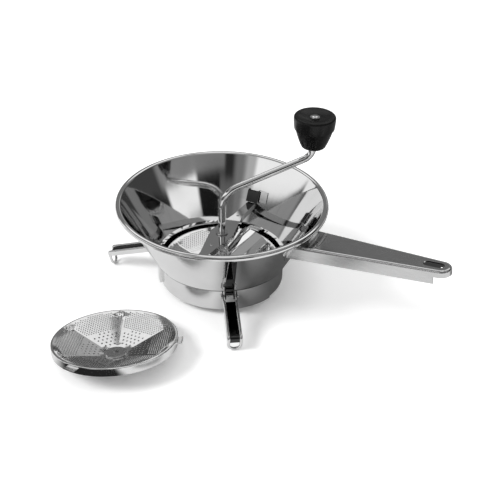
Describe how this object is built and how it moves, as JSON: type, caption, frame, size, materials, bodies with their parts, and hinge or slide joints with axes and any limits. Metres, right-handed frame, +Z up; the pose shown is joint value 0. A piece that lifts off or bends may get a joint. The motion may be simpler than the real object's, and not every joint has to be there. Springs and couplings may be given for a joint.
{
  "type": "food mill",
  "caption": "Rotary food mill: conical steel bowl on folding legs, cranked blade pressed by a spring on a sieve disc, long channel handle, spare disc beside it.",
  "frame": {"origin": "on the bowl's axis, at the height of the foot tips that the mill stands on", "axes": "+Z up along the bowl's axis, +X along the handle, away from the bowl"},
  "size_m": [0.4097, 0.3855, 0.2],
  "materials": {
    "polished_steel": "mirror polished stainless steel",
    "satin_steel": "bright stainless sheet",
    "hardware_steel": "plain steel",
    "spring_steel": "drawn wire",
    "black_plastic": "satin black moulding"
  },
  "bodies": {
    "bowl": {"bowl_shell": "polished_steel", "handle": "satin_steel", "handle_saddle": "polished_steel", "bar_strap_rear": "polished_steel", "bar_strap_front": "polished_steel", "leg_strap_front": "polished_steel", "leg_strap_left": "polished_steel", "leg_strap_rear": "polished_steel", "leg_pin_front": "hardware_steel", "leg_pin_left": "hardware_steel", "leg_pin_rear": "hardware_steel", "sieve_disc": "satin_steel", "sieve_hub": "hardware_steel"},
    "crossbar": {"crossbar": "polished_steel", "spring": "spring_steel", "spring_seat_upper": "hardware_steel"},
    "crank": {"crank_rod": "polished_steel", "shaft_clip": "hardware_steel", "knob_washer": "hardware_steel", "blade": "polished_steel", "blade_pin": "hardware_steel", "spring_seat_lower": "hardware_steel"},
    "knob": {"knob": "black_plastic"},
    "leg_front": {"leg_front": "polished_steel"},
    "leg_left": {"leg_left": "polished_steel"},
    "leg_rear": {"leg_rear": "polished_steel"},
    "spare": {"spare_disc": "satin_steel", "spare_hub": "hardware_steel"}
  },
  "joints": [
    {"name": "crank_turn", "type": "hinge", "parent": "bowl", "child": "crank", "pos_m": [0, 0, 0.06], "axis": [0, 0, 1], "continuous": true},
    {"name": "knob_spin", "type": "hinge", "parent": "crank", "child": "knob", "pos_m": [0.07106, 0.07892, 0.18], "axis": [0, 0, 1], "continuous": true},
    {"name": "bar_press", "type": "slide", "parent": "bowl", "child": "crossbar", "axis": [0, 0, -1], "range_m": [0, 0.003], "stiffness_N_per_m": 1500, "springref_m": -0.005, "deforming": ["spring"]},
    {"name": "leg_front_fold", "type": "hinge", "parent": "bowl", "child": "leg_front", "pos_m": [0.05048, -0.06462, 0.034], "axis": [0.788, 0.6157, 0], "range_deg": [0, 73]},
    {"name": "leg_left_fold", "type": "hinge", "parent": "bowl", "child": "leg_left", "pos_m": [-0.07842, -0.02397, 0.034], "axis": [0.2924, -0.9563, 0], "range_deg": [0, 73]},
    {"name": "leg_rear_fold", "type": "hinge", "parent": "bowl", "child": "leg_rear", "pos_m": [0.02466, 0.0782, 0.034], "axis": [-0.9537, 0.3007, 0], "range_deg": [0, 73]},
    {"name": "spare_disc_lift", "type": "slide", "parent": "bowl", "child": "spare", "axis": [0, 0, 1], "range_m": [0, 0.04]}
  ]
}
